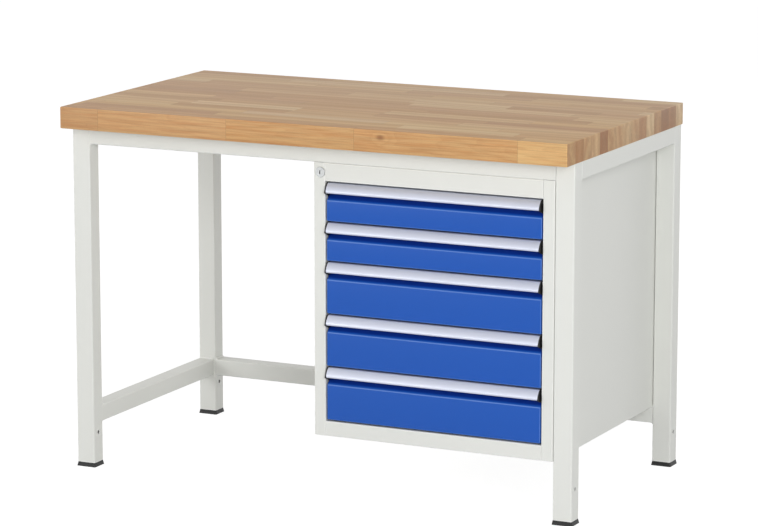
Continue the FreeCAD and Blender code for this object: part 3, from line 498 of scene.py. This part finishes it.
def build_drawer_panel(number):
    """A drawer front folded from one sheet: face, finger recess, wall behind it and grip flange."""
    low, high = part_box(f"drawer_{number}_front")
    foot = high.z - RECESS_DROP
    wall = low.y + RECESS_DEPTH
    middle, half = (low.x + high.x) / 2, (high.x - low.x) / 2
    panel = primitive(bpy.ops.mesh.primitive_cube_add, size=1, location=(
        middle, (low.y + high.y) / 2, (low.z + foot) / 2))
    panel.scale = (high.x - low.x, high.y - low.y, foot - low.z)

    def between_caps(edge):
        ends = [point.co.x for point in edge.verts]
        return abs(sum(ends) / 2 - middle) < half - END_CAP and abs(ends[0] - ends[1]) > NEAR

    def round_the_face(edge):
        """The folds round the face, and those at the foot of both ends."""
        at_face = min(point.co.y for point in edge.verts) < low.y + NEAR
        return (on_line(edge, y=low.y, z=foot) or on_line(edge, y=low.y, z=low.z)
                or any(on_line(edge, x=side) and at_face or on_line(edge, x=side, z=low.z)
                       for side in (low.x, high.x)))

    begin_edit(panel)
    pick(panel, "FACE", lambda face: face.normal.y > FACING)
    bpy.ops.mesh.delete(type="ONLY_FACE")
    pick(panel, "EDGE", lambda edge: on_line(edge, y=high.y, z=foot))
    bpy.ops.transform.translate(value=(0, wall - high.y, RECESS_DEPTH))
    for side in (low.x + END_CAP, high.x - END_CAP):
        bpy.ops.mesh.select_all(action="SELECT")
        bpy.ops.mesh.bisect(plane_co=(side, 0, 0), plane_no=(1, 0, 0))
    pick(panel, "EDGE", lambda edge: on_line(edge, y=wall, z=foot + RECESS_DEPTH))
    extrude(0, 0, high.z - FRONT_SHEET - foot - RECESS_DEPTH)
    pick(panel, "EDGE", lambda edge: on_line(edge, z=high.z - FRONT_SHEET) and between_caps(edge))
    extrude(0, -FLANGE_REACH, 0)
    pick(panel, "EDGE", lambda edge: on_line(edge, y=high.y, z=low.z) and between_caps(edge))
    extrude(0, 0, UPSTAND)
    pick(panel, "EDGE", round_the_face)
    bpy.ops.mesh.bevel(offset=FRONT_RADIUS, segments=ROUND_STEPS, profile=0.5, clamp_overlap=True)
    # on this open, folded shell the operator's inside is the side that faces the user
    end_edit(inside=True)
    apply_modifier(panel, "SOLIDIFY", thickness=FRONT_SHEET, offset=-1, use_even_offset=True)
    smooth(32)
    return panel


def fit_panel(panel, number):
    settle(panel, f"drawer_{number}_panel", f"drawer_{number}", "drawer_paint")
    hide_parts(f"drawer_{number}_front")


GRIP_WALL = 0.0018
GRIP_SETBACK = 0.002
GRIP_RADIUS = 0.04
GRIP_RISE = math.radians(51.5)
GRIP_FALL = math.radians(21.5)
GRIP_EDGE = 0.0014
CURL_RADIUS = 0.0045
CURL_TURN = math.radians(168)
ARC_STEPS = 14
GRIP_SLOT = 0.0013
RIB = 0.0015
RIB_REACH = 0.01
RIB_BITE = 0.0002  # how far the rib's web goes into the strip above it


def build_grip(number):
    """An aluminium grip strip: flat top, long curved nose and a lip that curls in under it."""
    low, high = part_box(f"drawer_{number}_grip")
    start = FACE + GRIP_SETBACK
    middle, width = (low.x + high.x) / 2, high.x - low.x
    strip = primitive(bpy.ops.mesh.primitive_plane_add, size=1, location=(
        middle, (start + high.y) / 2, high.z))
    strip.scale = (width, high.y - start, 1)
    begin_edit(strip)

    # centres of the nose's curve and of the lip's curl, and the line where they meet, as y and z
    nose = start + GRIP_RADIUS * math.cos(GRIP_RISE), high.z - GRIP_RADIUS * math.sin(GRIP_RISE)
    reach = GRIP_RADIUS - CURL_RADIUS
    curl = nose[0] - reach * math.cos(GRIP_FALL), nose[1] + reach * math.sin(GRIP_FALL)
    lip = nose[0] - GRIP_RADIUS * math.cos(GRIP_FALL), nose[1] + GRIP_RADIUS * math.sin(GRIP_FALL)
    pick(strip, "EDGE", lambda edge: on_line(edge, y=start))
    bpy.ops.mesh.spin(steps=ARC_STEPS, angle=GRIP_FALL - GRIP_RISE, center=(0, *nose), axis=(1, 0, 0))
    pick(strip, "EDGE", lambda edge: on_line(edge, y=lip[0], z=lip[1]))
    bpy.ops.mesh.spin(steps=ARC_STEPS, angle=-CURL_TURN, center=(0, *curl), axis=(1, 0, 0))
    bpy.ops.mesh.select_all(action="SELECT")
    bpy.ops.mesh.remove_doubles(threshold=NEAR)
    pick(strip, "EDGE", lambda edge: on_line(edge, y=start, z=high.z))
    bpy.ops.mesh.bevel(offset=GRIP_EDGE, segments=ROUND_STEPS, profile=0.5)
    end_edit()
    apply_modifier(strip, "SOLIDIFY", thickness=GRIP_WALL, offset=-1, use_even_offset=True)

    # the rib that holds the strip on the flange of the drawer front
    rib_top = high.z - GRIP_WALL - GRIP_SLOT
    rib_end = FACE + RIB_REACH

    def on_web(face):
        centre = face.calc_center_median()
        return (face.normal.z > FACING and abs(centre.z - rib_top) < NEAR
                and centre.y < start + GRIP_WALL)

    bpy.ops.object.mode_set(mode="EDIT")
    bpy.ops.mesh.select_all(action="DESELECT")
    bpy.ops.mesh.primitive_cube_add(
        size=1, location=(middle, (start + rib_end) / 2, rib_top - RIB / 2),
        scale=(width, rib_end - start, RIB))
    bpy.ops.mesh.bisect(plane_co=(0, start + GRIP_WALL, 0), plane_no=(0, 1, 0))
    pick(strip, "FACE", on_web)
    extrude(0, 0, GRIP_SLOT + RIB_BITE)
    bpy.ops.object.mode_set(mode="OBJECT")
    smooth(30)
    return strip


BEAD_SIDES = 12
BEAD_RADIUS = 0.0032
BEAD_VALLEY = 0.0026
RIPPLE = 0.0024
RIPPLES = 15


def build_bead():
    """A weld bead along X: one ripple repeated, closed at both ends."""
    bead = primitive(bpy.ops.mesh.primitive_cylinder_add, vertices=BEAD_SIDES, radius=BEAD_VALLEY,
                     depth=RIPPLE, end_fill_type="NOTHING", rotation=(0, math.radians(90), 0))
    begin_edit(bead)
    bpy.ops.mesh.select_all(action="SELECT")
    bpy.ops.mesh.bisect(plane_co=(0, 0, 0), plane_no=(1, 0, 0))
    pick(bead, "VERT", lambda point: abs(point.co.x) < NEAR)
    swell = BEAD_RADIUS / BEAD_VALLEY
    bpy.ops.transform.resize(value=(1, swell, swell), center_override=(0, 0, 0))
    bpy.ops.object.mode_set(mode="OBJECT")
    apply_modifier(bead, "ARRAY", count=RIPPLES, use_relative_offset=False, use_constant_offset=True,
                   constant_offset_displace=(RIPPLE, 0, 0), use_merge_vertices=True,
                   merge_threshold=NEAR)
    begin_edit(bead)
    bpy.ops.mesh.select_all(action="SELECT")
    bpy.ops.transform.translate(value=(-RIPPLE * (RIPPLES - 1) / 2, 0, 0))
    bpy.ops.mesh.fill_holes(sides=0)
    end_edit()
    smooth(50)
    return bead


def bead_spots():
    """The middle of each bead and its turn, where rails meet legs and the cabinet hides nothing."""
    spots = []
    for rail in ("top_rail_left", "top_rail_right", "low_rail_left"):
        low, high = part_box(rail)
        levels = (low.z,) if rail.startswith("top") else (low.z, high.z)
        spots += [(((low.x + high.x) / 2, y, z), 0) for y in (low.y, high.y) for z in levels]
    for rail in ("top_rail_front", "top_rail_rear", "low_rail_rear"):
        low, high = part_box(rail)
        top = rail.startswith("top")
        ends, levels = ((low.x,), (low.z,)) if top else ((low.x, high.x), (low.z, high.z))
        spots += [((x, (low.y + high.y) / 2, z), math.radians(90)) for x in ends for z in levels]
    return spots


def run_beads():
    bead = build_bead()
    spots = bead_spots()
    for number, (spot, turn) in enumerate(spots, 1):
        twin = copy_of(bead) if number < len(spots) else bead
        twin.location = spot
        twin.rotation_euler = (0, 0, turn)
        settle(twin, f"weld_bead_{number}", "bench", "frame_paint")


build_board()
run_beads()

# fronts of one height are made once: the second drawer is like the first, the fourth like the third
for number, twins in ((1, (2,)), (3, (4,)), (5, ())):
    panel = build_drawer_panel(number)
    for twin in twins:
        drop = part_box(f"drawer_{twin}_front")[0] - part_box(f"drawer_{number}_front")[0]
        fit_panel(copy_of(panel, drop), twin)
    fit_panel(panel, number)

grip = build_grip(1)
for number in range(1, 6):
    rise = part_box(f"drawer_{number}_grip")[1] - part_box("drawer_1_grip")[1]
    strip = copy_of(grip, rise) if number > 1 else grip
    settle(strip, f"drawer_{number}_grip_strip", f"drawer_{number}", "grip_aluminium")
    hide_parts(f"drawer_{number}_grip")

# ---------------------------------------------------------------- camera, light and floor

CAMERA_PLACE = (3.4803, -7.1183, 2.0131)
CAMERA_YAW = math.radians(25.952)
CAMERA_PITCH = math.radians(10.936)
CAMERA_LENS = 166.664  # millimetres, as is the sensor's width
CAMERA_SENSOR = 36

AMBIENT = 0.54
AMBIENT_CEILING = 0.43
SEEN_CEILING = 0.64
CEILING_START, CEILING_FULL = 0.25, 0.9  # heights of a direction between which it turns to ceiling
FLOOR_SIZE = 60
FLOOR_TONE = 0.66
FLOOR_SHADE = 0.3
FLOOR_GLOW = 1 - FLOOR_SHADE * 0.42  # with the light on FLOOR_SHADE, this makes the floor white

LAMP_AIM = (0, 0, 0.4)
LAMPS = (  # name, place, width and height, power
    ("key", (3.7, -4.5, 2.1), (2.4, 2.0), 146),
    ("fill", (-3.0, -5.4, 1.6), (2.0, 1.6), 55),
    ("side", (-4.9, -1.6, 3.2), (3.0, 2.6), 54),
    ("rear", (1.0, 5.4, 1.3), (2.4, 2.0), 38),
)


def set_camera():
    lens = bpy.data.cameras.new("camera")
    lens.sensor_width = CAMERA_SENSOR
    lens.lens = CAMERA_LENS
    camera = bpy.data.objects.new("camera", lens)
    camera.location = CAMERA_PLACE
    camera.rotation_euler = (math.radians(90) - CAMERA_PITCH, 0, CAMERA_YAW)
    bpy.context.scene.collection.objects.link(camera)
    bpy.context.scene.camera = camera


def softbox(name, place, size, power):
    """A large plain lamp that looks at the bench."""
    light = bpy.data.lights.new(name, "AREA")
    light.shape = "RECTANGLE"
    light.size, light.size_y = size
    light.energy = power
    lamp = bpy.data.objects.new(name, light)
    lamp.location = place
    lamp.rotation_euler = (Vector(LAMP_AIM) - Vector(place)).to_track_quat("-Z", "Y").to_euler()
    bpy.context.scene.collection.objects.link(lamp)


def set_world():
    """White all round, and greyer overhead, as in a studio with a plain ceiling."""
    world = bpy.data.worlds.new("studio")
    bpy.context.scene.world = world
    sky = Nodes(world)
    height = sky.axes(sky.node("ShaderNodeTexCoord", output="Object"))[2]
    unseen, seen = (sky.node("ShaderNodeMapRange", {"interpolation_type": "SMOOTHSTEP"}, {
        "Value": height, "From Min": CEILING_START, "From Max": CEILING_FULL,
        "To Min": horizon, "To Max": ceiling})
        for horizon, ceiling in ((AMBIENT, AMBIENT_CEILING), (1.0, SEEN_CEILING)))
    level = sky.node("ShaderNodeMix", {}, {0: sky.seen_directly(), 2: unseen, 3: seen})
    background = sky.node("ShaderNodeBackground", {}, {"Color": WHITE, "Strength": level})
    sky.node("ShaderNodeOutputWorld", {}, {"Surface": background})


def set_floor():
    """A pale floor that keeps the soft shadow and runs into the white background."""
    floor = primitive(bpy.ops.mesh.primitive_plane_add, size=FLOOR_SIZE)
    floor.name = "floor"
    surface = bpy.data.materials.new("studio_floor")
    ground = Nodes(surface)
    seen = ground.seen_directly()
    unseen_tone, seen_tone = ((grey, grey, grey, 1) for grey in (FLOOR_TONE, FLOOR_SHADE))
    lit = ground.node("ShaderNodeBsdfDiffuse", {}, {
        "Color": ground.blend(seen, unseen_tone, seen_tone)})
    bright = ground.node("ShaderNodeEmission", {}, {"Color": WHITE, "Strength": seen * FLOOR_GLOW})
    both = ground.node("ShaderNodeAddShader", {}, {0: lit, 1: bright})
    ground.node("ShaderNodeOutputMaterial", {}, {"Surface": both})
    floor.data.materials.append(surface)


set_camera()
set_world()
set_floor()
for lamp in LAMPS:
    softbox(*lamp)
bpy.context.scene.view_settings.view_transform = "Standard"
